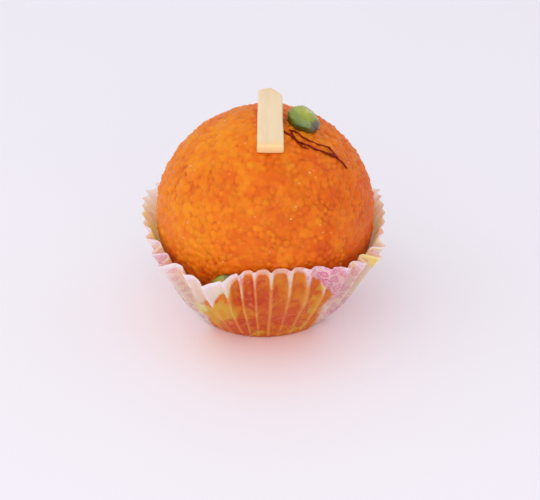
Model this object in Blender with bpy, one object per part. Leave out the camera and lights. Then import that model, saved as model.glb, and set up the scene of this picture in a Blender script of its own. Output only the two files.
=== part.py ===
"""A motichoor ladoo in its pleated paper case, dressed with almond, pistachio and saffron.

Metres, +Z up. The origin is the middle of the case's flat underside. Azimuths are counted
from +X towards +Y, so the side that the almond's lower end points to is at -90 degrees.
"""

import math

import bmesh
import bpy
import numpy as np
from mathutils import Matrix, Vector, noise

MM = 0.001
GAP = 0.3 * MM  # between pieces that touch

# Ladoo
LADOO_RADIUS = 25.3 * MM  # to the tops of the grains
LADOO_CENTRE = Vector((0.4, -2.0, 25.7)) * MM  # it leans on the front of the case
LADOO_SEED = 11
GRAIN_SPACING = 1.7 * MM  # the least between two grains that show
HIDDEN_SPACING = 3.4 * MM  # the same, down inside the case
HIDDEN_BELOW = -0.44  # where that begins, as a share of the radius
GRAIN_TRIES = 1500  # throws that find no free place before the ladoo counts as covered
GRAIN_RELIEF = (0.44 * MM, 0.66 * MM)  # from a grain's top to the dimples round it
GRAIN_UNEVEN = 0.16 * MM  # how far one grain's top lies under another's
HAND_ROLLED = 0.22 * MM  # slow swells left by rolling between the palms
SWELL_WIDTH = 14.0 * MM
MERGE_CORNERS = 0.16 * MM  # dimples nearer than this are one
GRAIN_SHARP = 36.0  # degrees between two faces that meet in a crease

# Saffron threads, as (polar angle, azimuth) in degrees on the ladoo
SAFFRON_WIDTH = 0.5 * MM
SAFFRON_STANDS = 0.22 * MM
SAFFRON_ROOT = 1.1 * MM
SAFFRON_STEPS = 12
SAFFRON_TAPER = 0.35
SAFFRON_THREADS = {
    "long": ((18.6, -59), (22.8, -54.5), (27.6, -51), (31.5, -44), (38, -35), (46.2, -26.3), (53, -24.7)),
    "upper": ((18.6, -49.3), (21.9, -43.8), (27, -39.9), (32, -34.7), (37, -27.4), (41, -25.9), (46, -25.9)),
    "fork": ((19.8, -47.6), (22.9, -51.4), (28.4, -51.7), (31.5, -50.2), (33.3, -45.7)),
}

# Almond, cut as a baton
ALMOND_SIZE = Vector((5.9, 20.0, 2.4)) * MM
ALMOND_SUNK = 0.45 * MM
ALMOND_POLAR = 9.4
ALMOND_TILT = 17.0
ALMOND_SIDEWAYS = 1.1 * MM
ALMOND_BEVEL = 0.4 * MM
ALMOND_CHIP = 2.4 * MM  # how much shorter the upper end's right side is
ALMOND_CHIP_LEFT = 0.35  # the same on its left side, as a share of that
# From the lower end to the upper: share of the half length, of the width, of the thickness
ALMOND_STATIONS = (
    (-1.0, 0.95, 0.8),
    (-0.965, 1.02, 1.0),
    (-0.5, 1.0, 1.04),
    (0.1, 0.97, 1.05),
    (0.6, 0.95, 1.0),
    (0.93, 0.93, 0.95),
    (1.0, 0.86, 0.72),
)
ALMOND_CHIPPED = 0.9  # the stations past this share of the half length are chipped

# Pistachio kernels, placed by polar angle, azimuth and turn about the ladoo's normal
PISTACHIO_SIZE = Vector((8.3, 6.6, 5.5)) * MM
PISTACHIO_SUNK = 1.3 * MM
PISTACHIO_PLACE = (20.3, -18.4, -12.0)
SIDE_NUT_SIZE = Vector((6.6, 4.4, 2.8)) * MM
SIDE_NUT_SUNK = 0.9 * MM
SIDE_NUT_PLACE = (103.0, -112.0, 128.0)
KERNEL_TAPER = 0.13
KERNEL_FULLNESS = 0.9  # under 1 is fuller towards the ends than an ellipsoid
KERNEL_SIDES = 16
KERNEL_RINGS = 10

# Paper case
PAPER = 0.3 * MM
BASE_RADIUS = 15.9 * MM
SLANT = 27.2 * MM  # from the base's edge to the rim, along the wall
RIM_RADIUS = 27.4 * MM  # of the inner folds, where nothing pushes the wall
WALL_BOW = 0.9 * MM  # how far the wall bellies out between base and rim
WALL_YIELD = 0.5 * MM  # how softly the wall bends off the ladoo
WALL_ROWS = (0.0, 0.07, 0.3, 0.52, 0.76, 1.0)
PLEATS = 40
PLEAT_PHASES = (0.0, 0.28, 0.5, 0.72)  # a pleat's columns, from the top of its crease
PLEAT_DEPTH = (0.45 * MM, 1.55 * MM)  # at the base and at the rim
PLEAT_UNEVEN = 0.16  # how far one pleat's depth strays from the next one's, as a share
PLEAT_SEED = 5
CREASE_SHARPNESS = 1.6
# Where the wall leans out more, or less: azimuth, extra rim radius, half width in degrees
WALL_LEANS = (
    (37, 3.8 * MM, 17),
    (90, 1.5 * MM, 30),
    (148, 3.4 * MM, 18),
    (221, 3.7 * MM, 14),
    (246, 4.4 * MM, 11),
    (276, -0.3 * MM, 12),
    (309, 2.6 * MM, 12),
    (328, 3.4 * MM, 12),
)
# Where pleats crowd together, or spread: azimuth, share, half width in degrees
PLEAT_CROWDING = ((259, 0.5, 11), (232, -0.25, 14), (196, -0.22, 14), (322, 0.1, 20))


def clear_scene():
    for found in list(bpy.data.objects):
        bpy.data.objects.remove(found, do_unlink=True)


def finish_of(name, colour, roughness, subsurface=0.0):
    material = bpy.data.materials.new(name)
    material.use_nodes = True
    shader = material.node_tree.nodes["Principled BSDF"]
    shader.inputs["Base Color"].default_value = (*colour, 1.0)
    shader.inputs["Roughness"].default_value = roughness
    shader.inputs["Metallic"].default_value = 0.0
    shader.inputs["Subsurface Weight"].default_value = subsurface
    return material


def add_object(name, mesh, material=None):
    made = bpy.data.objects.new(name, mesh)
    bpy.context.scene.collection.objects.link(made)
    if material is not None:
        mesh.materials.append(material)
    return made


def shade(mesh, sharp_degrees):
    mesh.shade_smooth()
    mesh.set_sharp_from_angle(angle=math.radians(sharp_degrees))


def mesh_from(name, bm, sharp_degrees=50.0):
    """Ends a bmesh as a closed mesh with its faces pointing out."""
    bmesh.ops.recalc_face_normals(bm, faces=bm.faces)
    mesh = bpy.data.meshes.new(name)
    bm.to_mesh(mesh)
    bm.free()
    shade(mesh, sharp_degrees)
    return mesh


def join_rings(bm, rings):
    """Faces from each ring of vertices to the next."""
    for first, second in zip(rings, rings[1:]):
        for k in range(len(first)):
            after = (k + 1) % len(first)
            bm.faces.new((first[k], first[after], second[after], second[k]))


def on_sphere(polar_degrees, azimuth_degrees):
    polar, azimuth = math.radians(polar_degrees), math.radians(azimuth_degrees)
    across = math.sin(polar)
    return Vector((across * math.cos(azimuth), across * math.sin(azimuth), math.cos(polar)))


def scatter_grains():
    """Directions of the grains, thrown at random and kept only where no earlier grain is near."""
    rng = np.random.default_rng(LADOO_SEED)
    kept = np.zeros((0, 3))
    misses = 0
    while misses < GRAIN_TRIES:
        thrown = rng.normal(size=3)
        thrown /= np.linalg.norm(thrown)
        spacing = (HIDDEN_SPACING if thrown[2] < HIDDEN_BELOW else GRAIN_SPACING) / LADOO_RADIUS
        if len(kept) and np.min(np.sum((kept - thrown) ** 2, axis=1)) < spacing**2:
            misses += 1
            continue
        misses = 0
        kept = np.vstack([kept, thrown])
    return kept, rng


def swell(direction):
    """How far hand rolling has moved the surface out or in there."""
    place = direction * (LADOO_RADIUS / SWELL_WIDTH)
    return HAND_ROLLED * noise.noise(place, noise_basis="PERLIN_ORIGINAL")


def ladoo_mesh():
    """A low peak for each grain and a dimple where three grains meet, so that a grain is a fan of triangles.
    It stands on a small flat, clear of the case's base."""
    directions, rng = scatter_grains()
    hull = bmesh.new()
    for direction in directions:
        hull.verts.new(direction)
    bmesh.ops.convex_hull(hull, input=hull.verts)
    hull.verts.index_update()
    hull.faces.index_update()
    hull.normal_update()

    bm = bmesh.new()

    def add_point(direction, depth):
        return bm.verts.new(direction * (LADOO_RADIUS - depth + swell(direction)))

    peaks = [add_point(v.co.normalized(), rng.uniform(0, GRAIN_UNEVEN)) for v in hull.verts]
    dimples = []
    for face in hull.faces:
        outwards = face.normal if face.normal.dot(face.verts[0].co) > 0 else -face.normal
        dimples.append(add_point(outwards, rng.uniform(*GRAIN_RELIEF)))
    for edge in hull.edges:
        one, other = (dimples[face.index] for face in edge.link_faces)
        for vertex in edge.verts:
            bm.faces.new((peaks[vertex.index], one, other))
    hull.free()
    bmesh.ops.remove_doubles(bm, verts=bm.verts, dist=MERGE_CORNERS)
    lowest = PAPER + GAP - LADOO_CENTRE.z
    for vertex in bm.verts:
        vertex.co.z = max(vertex.co.z, lowest)
    return mesh_from("ladoo", bm)


def smooth_route(points, steps):
    """Points read evenly along a Catmull-Rom curve through the given ones."""
    padded = [2 * points[0] - points[1], *points, 2 * points[-1] - points[-2]]
    spans = len(points) - 1
    for k in range(steps + 1):
        i = min(k * spans // steps, spans - 1)
        t = k * spans / steps - i
        a, b, c, d = padded[i : i + 4]
        yield 0.5 * (2 * b + (c - a) * t + (2 * a - 5 * b + 4 * c - d) * t**2 + (3 * b - a - 3 * c + d) * t**3)


def saffron_mesh(name, route):
    """A thread with a round back that stands on the ladoo and a thin root that goes into it."""
    through = [on_sphere(*place) for place in route]
    centres = [p.normalized() * LADOO_RADIUS for p in smooth_route(through, SAFFRON_STEPS)]
    back = ((-0.5, 0.0), (-0.28, 0.75), (0.0, 1.0), (0.28, 0.75), (0.5, 0.0))
    bm = bmesh.new()
    rings = []
    for k, centre in enumerate(centres):
        along = (centres[min(k + 1, SAFFRON_STEPS)] - centres[max(k - 1, 0)]).normalized()
        out = centre.normalized()
        taper = 1.0 - SAFFRON_TAPER * abs(2 * k / SAFFRON_STEPS - 1) ** 3
        sideways = along.cross(out).normalized() * (SAFFRON_WIDTH * taper)
        upwards = out * (SAFFRON_STANDS * taper)
        ring = [bm.verts.new(centre + sideways * x + upwards * y) for x, y in back]
        ring.append(bm.verts.new(centre - out * SAFFRON_ROOT))
        rings.append(ring)
    join_rings(bm, rings)
    bm.faces.new(rings[0])
    bm.faces.new(rings[-1])
    return mesh_from(name, bm)


def bar_section(width, thickness, bevel, points_each=3):
    """The outline of a bar with round edges, as (x, z) points, with one more amid its top and its underside."""
    for quarter in range(4):
        turn = quarter * math.pi / 2
        x = (width / 2 - bevel) * (1 if quarter in (0, 3) else -1)
        z = (thickness / 2 - bevel) * (1 if quarter in (0, 1) else -1)
        for k in range(points_each):
            angle = turn + k * math.pi / 2 / (points_each - 1)
            yield x + bevel * math.cos(angle), z + bevel * math.sin(angle)
        if quarter % 2 == 0:
            yield 0.0, z + bevel * (1 if quarter == 0 else -1)


def almond_mesh(name, grow=0.0):
    """A baton cut from a blanched almond. Its upper end comes to a blunt point, chipped more on the right."""
    width, length, thickness = (side + 2 * grow for side in ALMOND_SIZE)
    bm = bmesh.new()
    rings = []
    for along, wide, thick in ALMOND_STATIONS:
        ring = []
        for x, z in bar_section(width * wide, thickness * thick, ALMOND_BEVEL + grow):
            side = 2 * x / width
            chip = ALMOND_CHIP * (side if side > 0 else -ALMOND_CHIP_LEFT * side)
            y = along * length / 2 - (chip if along > ALMOND_CHIPPED else 0.0)
            ring.append(bm.verts.new((x, y, z)))
        rings.append(ring)
    join_rings(bm, rings)
    bm.faces.new(rings[0])
    bm.faces.new(rings[-1])
    return mesh_from(name, bm)


def kernel_mesh(name, size, grow=0.0):
    """A pistachio kernel: an egg, narrower at one end."""
    length, width, height = (side / 2 + grow for side in size)
    bm = bmesh.new()
    rings = []
    for i in range(1, KERNEL_RINGS):
        polar = math.pi * i / KERNEL_RINGS
        x = -math.cos(polar)
        across = math.sin(polar) ** KERNEL_FULLNESS * (1.0 - KERNEL_TAPER * x)
        ring = []
        for k in range(KERNEL_SIDES):
            turn = 2 * math.pi * k / KERNEL_SIDES
            y, z = across * math.cos(turn) * width, across * math.sin(turn) * height
            ring.append(bm.verts.new((x * length, y, z)))
        rings.append(ring)
    join_rings(bm, rings)
    for end, ring in ((-1, rings[0]), (1, rings[-1])):
        tip = bm.verts.new((end * length, 0, 0))
        for k in range(KERNEL_SIDES):
            bm.faces.new((tip, ring[k], ring[(k + 1) % KERNEL_SIDES]))
    return mesh_from(name, bm)


def lobes(azimuth_degrees, table):
    """The sum of the table's smooth humps at that azimuth."""
    total = 0.0
    for middle, amount, half_width in table:
        away = (azimuth_degrees - middle + 180) % 360 - 180
        total += amount * math.exp(-((away / half_width) ** 2))
    return total


def pleat_columns():
    """The wall's columns, counted in pleats and as azimuths, which bunch or spread where the pleats do."""
    degrees = np.linspace(0, 360, 721)
    density = np.array([1.0 + lobes(a, PLEAT_CROWDING) for a in degrees])
    count = np.concatenate([[0], np.cumsum((density[1:] + density[:-1]) / 2)])
    pleats = [pleat + phase for pleat in range(PLEATS) for phase in PLEAT_PHASES]
    return pleats, np.interp(np.array(pleats) / PLEATS, count / count[-1], degrees)


def crease(phase):
    """1 on a pleat's narrow outer crease and 0 in its broad inner fold."""
    return (0.5 + 0.5 * math.cos(2 * math.pi * phase)) ** CREASE_SHARPNESS


def wall_point(azimuth_degrees, t, crest):
    """A point of the wall's outer face, t from 0 at the base to 1 at the rim and crest from 0 in an inner fold
    to 1 on an outer crease. The inner folds stay off the ladoo."""
    rim = RIM_RADIUS + lobes(azimuth_degrees, WALL_LEANS)
    lean = math.asin((rim - BASE_RADIUS) / SLANT)
    azimuth = math.radians(azimuth_degrees)
    outwards = Vector((math.cos(azimuth), math.sin(azimuth), 0))
    bow = WALL_BOW * math.sin(math.pi * t)
    point = outwards * (BASE_RADIUS + t * SLANT * math.sin(lean) + bow * math.cos(lean))
    point.z = t * SLANT * math.cos(lean) - bow * math.sin(lean)
    if t > 0:
        from_ladoo = point - LADOO_CENTRE
        too_near = (LADOO_RADIUS + GAP + PAPER - from_ladoo.length) / WALL_YIELD
        point += from_ladoo.normalized() * (WALL_YIELD * math.log1p(math.exp(too_near)))
    depth = PLEAT_DEPTH[0] + (PLEAT_DEPTH[1] - PLEAT_DEPTH[0]) * t
    return point + outwards * (depth * crest)


def inner_point(rows, i, k):
    """The point a paper's thickness inside the wall's outer face at row i and column k."""
    row = rows[i]
    round_it = row[(k + 1) % len(row)] - row[k - 1]
    up_it = rows[min(i + 1, len(rows) - 1)][k] - rows[max(i - 1, 0)][k]
    inwards = up_it.cross(round_it).normalized()
    if i > 0:
        return row[k] + inwards * PAPER
    at_base = row[k] + Vector((inwards.x, inwards.y, 0)).normalized() * PAPER
    at_base.z = PAPER
    return at_base


def case_mesh():
    """The fluted wall and the flat base, with an outer and an inner face a paper's thickness apart."""
    pleats, azimuths = pleat_columns()
    columns = len(azimuths)
    stray = np.random.default_rng(PLEAT_SEED).uniform(-PLEAT_UNEVEN, PLEAT_UNEVEN, PLEATS)
    crests = [crease(pleat) * (1 + stray[round(pleat) % PLEATS]) for pleat in pleats]
    outer = [[wall_point(a, t, crest) for a, crest in zip(azimuths, crests)] for t in WALL_ROWS]
    inner = [[inner_point(outer, i, k) for k in range(columns)] for i in range(len(outer))]
    bm = bmesh.new()
    faces = [[[bm.verts.new(p) for p in row] for row in rows] for rows in (outer, inner)]
    for rings in faces:
        join_rings(bm, rings)
        bm.faces.new(rings[0])
    join_rings(bm, [rings[-1] for rings in faces])
    return mesh_from("paper_case", bm, sharp_degrees=70.0)


def saffron_threads(material):
    """The threads as a collection of their own, which the ladoo is then joined with."""
    threads = bpy.data.collections.new("saffron_threads")
    bpy.context.scene.collection.children.link(threads)
    for name, route in SAFFRON_THREADS.items():
        thread = bpy.data.objects.new("saffron_" + name, saffron_mesh("saffron_" + name, route))
        thread.data.materials.append(material)
        thread.location = LADOO_CENTRE
        threads.objects.link(thread)
    return threads


def add_boolean(obj, operation, operand):
    change = obj.modifiers.new(operand.name, "BOOLEAN")
    change.operation = operation
    change.solver = "EXACT"
    if operation == "UNION":
        change.operand_type = "COLLECTION"
        change.collection = operand
    else:
        change.object = operand


def apply_modifiers(obj, sharp_degrees):
    """Replaces an object's mesh with what its modifiers make of it."""
    bpy.context.view_layer.update()
    graph = bpy.context.evaluated_depsgraph_get()
    mesh = bpy.data.meshes.new_from_object(obj.evaluated_get(graph))
    obj.modifiers.clear()
    obj.data = mesh
    shade(mesh, sharp_degrees)


def add_topping(ladoo, name, make_mesh, sizes, place, material):
    """Lays a topping in a seat cut for it in the ladoo, and gives back the cutter."""
    topping = add_object(name, make_mesh(name, **sizes), material)
    topping.matrix_world = place
    seat = add_object(name + "_seat", make_mesh(name + "_seat", grow=GAP, **sizes))
    seat.matrix_world = place
    add_boolean(ladoo, "DIFFERENCE", seat)
    return seat


def add_almond(ladoo, material):
    """The almond lies over the top of the ladoo, its lower end pressed in towards the front."""
    polar = math.radians(ALMOND_POLAR)
    height = LADOO_RADIUS - ALMOND_SUNK + ALMOND_SIZE.z / 2
    centre = Vector((ALMOND_SIDEWAYS, -math.sin(polar) * height, math.cos(polar) * height))
    place = Matrix.Translation(LADOO_CENTRE + centre) @ Matrix.Rotation(math.radians(ALMOND_TILT), 4, "X")
    return add_topping(ladoo, "almond_sliver", almond_mesh, {}, place, material)


def add_kernel(ladoo, name, size, sunk, polar_azimuth_turn, material):
    """A kernel lies flat on the ladoo, its length running downhill before it is turned."""
    polar, azimuth, turn = (math.radians(angle) for angle in polar_azimuth_turn)
    place = (
        Matrix.Translation(LADOO_CENTRE)
        @ Matrix.Rotation(azimuth, 4, "Z")
        @ Matrix.Rotation(polar, 4, "Y")
        @ Matrix.Translation((0, 0, LADOO_RADIUS - sunk + size.z / 2))
        @ Matrix.Rotation(turn, 4, "Z")
    )
    return add_topping(ladoo, name, kernel_mesh, {"size": size}, place, material)


def build():
    clear_scene()
    orange = finish_of("motichoor", (0.83, 0.20, 0.025), 0.42, 0.3)
    crimson = finish_of("saffron", (0.16, 0.008, 0.004), 0.55)
    ivory = finish_of("almond", (0.86, 0.70, 0.47), 0.45, 0.2)
    green = finish_of("pistachio", (0.24, 0.30, 0.035), 0.35, 0.15)
    printed_paper = finish_of("printed_paper", (0.80, 0.62, 0.66), 0.6)

    ladoo = add_object("ladoo", ladoo_mesh(), orange)
    ladoo.location = LADOO_CENTRE
    threads = saffron_threads(crimson)
    add_boolean(ladoo, "UNION", threads)
    seats = [
        add_almond(ladoo, ivory),
        add_kernel(ladoo, "pistachio_top", PISTACHIO_SIZE, PISTACHIO_SUNK, PISTACHIO_PLACE, green),
        add_kernel(ladoo, "pistachio_side", SIDE_NUT_SIZE, SIDE_NUT_SUNK, SIDE_NUT_PLACE, green),
    ]
    apply_modifiers(ladoo, GRAIN_SHARP)
    for helper in (*seats, *threads.objects):
        bpy.data.objects.remove(helper, do_unlink=True)
    bpy.data.collections.remove(threads)

    add_object("paper_case", case_mesh(), printed_paper)


build()
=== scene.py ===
"""The looks of a motichoor ladoo in its pleated paper case, dressed with almond, pistachio and saffron.

Metres in the model's own frame, +Z up. Azimuths are in degrees, anticlockwise from +X seen from above.
The camera looks along +Y, so the side it sees is at azimuth 270, or -90.
"""

import math

import bmesh
import bpy
import numpy as np
from mathutils import Matrix, Vector, noise
from mathutils.kdtree import KDTree


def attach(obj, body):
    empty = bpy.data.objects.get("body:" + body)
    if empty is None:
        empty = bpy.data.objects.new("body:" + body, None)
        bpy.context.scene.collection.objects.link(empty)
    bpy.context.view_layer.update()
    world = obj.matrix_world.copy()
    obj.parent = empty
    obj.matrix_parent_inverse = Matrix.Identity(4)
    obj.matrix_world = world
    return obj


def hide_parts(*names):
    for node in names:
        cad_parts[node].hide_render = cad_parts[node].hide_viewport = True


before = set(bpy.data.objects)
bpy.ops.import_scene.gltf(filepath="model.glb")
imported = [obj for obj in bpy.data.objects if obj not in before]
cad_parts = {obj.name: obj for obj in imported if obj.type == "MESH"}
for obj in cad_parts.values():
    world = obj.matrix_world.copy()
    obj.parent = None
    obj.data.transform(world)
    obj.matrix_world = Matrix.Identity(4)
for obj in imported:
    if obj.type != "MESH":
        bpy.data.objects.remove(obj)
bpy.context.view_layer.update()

MM = 0.001
FULL_TURN = 2 * math.pi

# The model's driving sizes, as in its source
LADOO_RADIUS = 25.3 * MM
LADOO_CENTRE = np.array((0.4, -2.0, 25.7)) * MM
HAND_ROLLED = 0.22 * MM
SWELL_WIDTH = 14.0 * MM
SAFFRON_THREADS = {  # each one's route, as polar angles and azimuths on the ladoo
    "long": ((18.6, -59), (22.8, -54.5), (27.6, -51), (31.5, -44), (38, -35), (46.2, -26.3), (53, -24.7)),
    "upper": ((18.6, -49.3), (21.9, -43.8), (27, -39.9), (32, -34.7), (37, -27.4), (41, -25.9), (46, -25.9)),
    "fork": ((19.8, -47.6), (22.9, -51.4), (28.4, -51.7), (31.5, -50.2), (33.3, -45.7)),
}
ALMOND_SIZE = np.array((5.9, 20.0, 2.4)) * MM
ALMOND_SUNK = 0.45 * MM
ALMOND_POLAR = 9.4
ALMOND_TILT = 17.0
ALMOND_SIDEWAYS = 1.1 * MM
ALMOND_CHIP = 2.4 * MM
ALMOND_CHIP_LEFT = 0.35
ALMOND_CHIPPED = (0.6, 0.93)  # the chip grows between these shares of the half length
ALMOND_STATIONS = (  # share of the half length, then the share of the width and of the thickness there
    (-1.0, 0.95, 0.8),
    (-0.965, 1.02, 1.0),
    (-0.5, 1.0, 1.04),
    (0.1, 0.97, 1.05),
    (0.6, 0.95, 1.0),
    (0.93, 0.93, 0.95),
    (1.0, 0.86, 0.72),
)
PISTACHIO_SIZE = np.array((8.3, 6.6, 5.5)) * MM
PISTACHIO_SUNK = 1.3 * MM
PISTACHIO_PLACE = (20.3, -18.4, -12.0)  # polar angle, azimuth, turn on the spot
SIDE_NUT_SIZE = np.array((6.6, 4.4, 2.8)) * MM
SIDE_NUT_SUNK = 0.9 * MM
SIDE_NUT_PLACE = (103.0, -112.0, 128.0)
KERNEL_TAPER = 0.13
KERNEL_FULLNESS = 0.9
BASE_RADIUS = 15.9 * MM
SLANT = 27.2 * MM
RIM_RADIUS = 27.4 * MM
WALL_BOW = 0.9 * MM
WALL_YIELD = 0.5 * MM
PLEATS = 40
PLEAT_DEPTH = (0.45 * MM, 1.55 * MM)
PLEAT_UNEVEN = 0.16
PLEAT_SEED = 5
WALL_LEANS = (  # azimuth, how much further out the rim stands there, half width in degrees
    (37, 3.8 * MM, 17),
    (90, 1.5 * MM, 30),
    (148, 3.4 * MM, 18),
    (221, 3.7 * MM, 14),
    (246, 4.4 * MM, 11),
    (276, -0.3 * MM, 12),
    (309, 2.6 * MM, 12),
    (328, 3.4 * MM, 12),
)
PLEAT_CROWDING = (  # azimuth, how much denser the pleats stand there, half width in degrees
    (259, 0.5, 11),
    (232, -0.25, 14),
    (196, -0.22, 14),
    (322, 0.1, 20),
)

# Camera, as fitted to the photograph: where the ladoo's middle shows in the frame, in pixels
FRAME_SIZE = (540, 500)
CAMERA_ELEVATION = 28.0
CAMERA_DISTANCE = 0.5
FOCAL_PIXELS = 2147.3
LADOO_PIXEL = (265.5, 211.5)
SENSOR = 36.0

# Stage
FLOOR_RADIUS = 3.0
FLOOR_BELOW = 0.05 * MM
FLOOR_CLOUDS = 9.0
FLOOR_COLOURS = ((0.9, 0.88, 0.94), (0.93, 0.91, 0.96))
WORLD_COLOUR = (0.97, 0.96, 1.0)
WORLD_STRENGTH = 0.84
LIGHTS = {  # place, size, power, colour
    "key": ((-0.4, -0.3, 0.5), 1.1, 1.4, (1.0, 0.97, 0.93)),
    "fill": ((0.05, -0.7, 0.2), 0.6, 1.1, (1.0, 1.0, 1.0)),
}

# Boondi grains: seed, least spacing, half widths, height as a share of those, depth of the tops
GRAIN_KINDS = {
    "boondi": (3, 1.72 * MM, (0.88 * MM, 1.32 * MM), 0.62, (0.0, 0.24 * MM)),
    "boondi_small": (8, 1.05 * MM, (0.58 * MM, 0.8 * MM), 0.75, (0.02 * MM, 0.3 * MM)),
}
CLEAR_OF_GRAINS = 1.2 * MM
GRAIN_TRIES = 2500  # misses in a row after which the ladoo counts as full
GRAIN_RINGS = (24, 46, 68, 98)  # polar angles
GRAIN_SIDES = 10
GRAIN_HEIGHTS = (0.85, 1.15)
GRAIN_UNEVEN = (0.13, 0.09)  # how far from round: two bulges, three bulges
GRAIN_FLAT_TOP = 0.85
GRAIN_LEAN = 0.12
TONE_PATCH = 5.5 * MM  # a tone goes from 0, red and deep, to 1, yellow and light
TONE_PATCHES = 0.34
TONE_STRAY = 0.1
TONE_MIDDLE = 0.46
PAINTED_LIGHT_DRIFT = np.array((-0.22, 0.0, 0.18))  # yellower and lighter on the left and on top: painted light from the upper left
YELLOW_PATCHES = (  # the direction of each, its size as a share of the radius, how much yellower
    ((-0.63, -0.77, 0.14), 0.18, 0.38),
    ((0.47, -0.79, 0.4), 0.09, 0.4),
    ((-0.4, -0.2, 0.89), 0.25, 0.15),
    ((0.7, 0.6, 0.4), 0.2, 0.3),
)

# The paste between the grains
CORE_CELLS = 126
CORE_NEAREST = 4
PASTE_LEVEL = (0.62 * MM, 0.27 * MM)  # how far below the surface it lies, most and least
PASTE_PATCH = 8.0 * MM
PASTE_ROUGH = 0.08 * MM
PASTE_ROUGH_SIZE = 0.9 * MM
PASTE_SOFT = 0.12 * MM
FILM = (-0.14 * MM, 0.17 * MM)  # how far a grain's top stands out of the paste that runs up it
PRESSED = 0.22 * MM  # how much less where the palms pressed the ladoo smooth
GRAINY_SIDE = np.array((0.15, -0.96, -0.2))  # the grains stand out most at the front and at the back
GRAINY = (1.3, 1.15)  # the pressing half way between them, and how much less there is towards them
PRESSED_PATCH = 9.0 * MM
SHOULDER = 0.75  # how steeply the paste falls away around a grain, as a share of its height
# The depth below the surface at which the painted crease shade is full
CREASE_DEPTH = 0.75 * MM

# Ladoo colours, from red and deep to yellow and light
PATCH_WIDTH = 6.0 * MM
ORANGES = (
    (0.1, (0.7, 0.1, 0.003)),
    (0.5, (0.79, 0.17, 0.004)),
    (0.95, (0.86, 0.28, 0.006)),
)
HUE_STRAY = 0.6
FINE_GRAIN = 0.9 * MM
# Painted shade in the creases between the grains: its colour, and how much of it at full depth
CREASE_SHADE_COLOUR = (0.58, 0.065, 0.002)
CREASE_SHADE = 0.85
LADOO_RELIEF = (0.45 * MM, 0.05 * MM)  # the size of its features, and their depth
# Painted glints of the syrup, scattered by noise
GLINT_COLOUR = (0.95, 0.4, 0.18)
GLINT_SIZE = 0.8 * MM
GLINT_LEVELS = (0.8, 0.87)  # of the noise, between which a painted glint shows

# Saffron
SAFFRON_SEED = 4
SAFFRON_STEPS = 10
SAFFRON_SIDES = 9
SAFFRON_HALF = 0.31 * MM
SAFFRON_TAPER = 0.4
SAFFRON_UNEVEN = (0.22, 31)  # how much its width varies, and how often along the thread
SAFFRON_RIBS = 0.18
SAFFRON_FLAT = 0.8
SAFFRON_ENDS = (0.5, 0.35)
SAFFRON_KNOT = (0.8, 0.5, 0.1)  # where the threads cling: share of the length, how much thicker, how long
SAFFRON_LIFT = 0.16 * MM
SAFFRON_RISES = (0.12 * MM, 9)  # how far it waves up and down, and how often along the thread
SAFFRON_BENDS = ((0.1 * MM, 23), (0.07 * MM, 51))  # the same from side to side
SAFFRON_PHASES = 6.28  # each wave starts anywhere below this, in radians
SAFFRON_THIN = {"long": 1.0, "upper": 0.72, "fork": 0.8}
SAFFRON_COLOURS = ((0.1, 0.005, 0.001), (0.3, 0.016, 0.002))

# Almond
ALMOND_ROWS = 60
ALMOND_COLUMNS = 64
ALMOND_SQUARE = 0.32  # nearer 0 gives the section sharper corners
ALMOND_ENDS = ((0.0, 0.55), (0.006, 0.8), (0.018, 0.94))  # rounding: share of length, of section
ALMOND_UNEVEN = (0.06 * MM, 2.5 * MM)  # how far its faces stray from flat, and the size of a dent
ALMOND_FLESH = ((0.82, 0.63, 0.4), (0.86, 0.69, 0.46))
ALMOND_GRAIN = (0.9, 0.77, 0.57)
# Painted shade on the end faces, with the ladoo's orange painted as reflected at the lower end
ALMOND_END_SHADE_AND_REFLECTION = (0.92, 0.62, 0.26)

# Pistachio
KERNEL_ROWS = 34
KERNEL_COLUMNS = 44
KERNEL_FURROW = 0.1
KERNEL_SEAM = (1.2, 0.16)  # where the furrow runs round the kernel and how wide it is, in radians
KERNEL_WRINKLE = 0.1
KERNEL_WRINKLES = (1.2, 3.0, 3.0)  # how close they lie along it and across it
KERNEL_WRINKLE_SIZE = 0.8
KERNEL_SHRINK = 0.95  # dried a little within the solid's size
KERNEL_SHADED_SIDES = ((0.05, 0.09, 0.006), (0.16, 0.22, 0.012))  # painted shade on the sides: low down, and higher up
# Painted light on the kernel's top
KERNEL_LIT_TOP = (0.32, 0.37, 0.022)
# A painted highlight on the middle of the top, also used to lighten the veins
KERNEL_HIGHLIGHT_AND_VEINS = (0.6, 0.56, 0.08)
SKIN_COLOUR = (0.1, 0.05, 0.06)

# Paper
PAPER_THICK = 0.12 * MM
PAPER_CLEAR = 0.3 * MM
PAPER_CREASE = 2.8  # the greater, the narrower a pleat's ridge
PAPER_FOOT = (0.35, 0.16, 0.7)  # a pleat's share at the base, the height where it is whole, its growth
HUGS = ((90, 0.4, 50), (214, 0.7, 16), (325, 0.7, 16))  # azimuth, share of the gap closed, half width
FLAT_SIDES = ((0, 1.0, 36), (180, 1.0, 34))  # where the folds are broad panels with shallow teeth
FLATTER = 0.72
BROADER = 0.6
OPENED = 0.6 * MM  # how much further out the rim stands at the flat sides
TUCKED = 0.8  # share of the gap that the wall closes there, below a lip that flares out
LIP = 5.0  # the greater, the shorter the lip
HUG_RISE = (0.35, 0.3)  # from this share of the height, over that much of it
PAPER_CRUMPLE = (0.22 * MM, 3.4 * MM)  # how far the wall strays, and the size of a dent
PAPER_ROWS = 30
COLUMNS_A_PLEAT = 18
PLEAT_WANDER = 0.12  # how far a pleat strays sideways at the rim, in pleats
WANDER_WAVES = (0.9, 2.2, 3.0)  # how often it strays, by pleat and by height, and the noise's own offset

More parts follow.
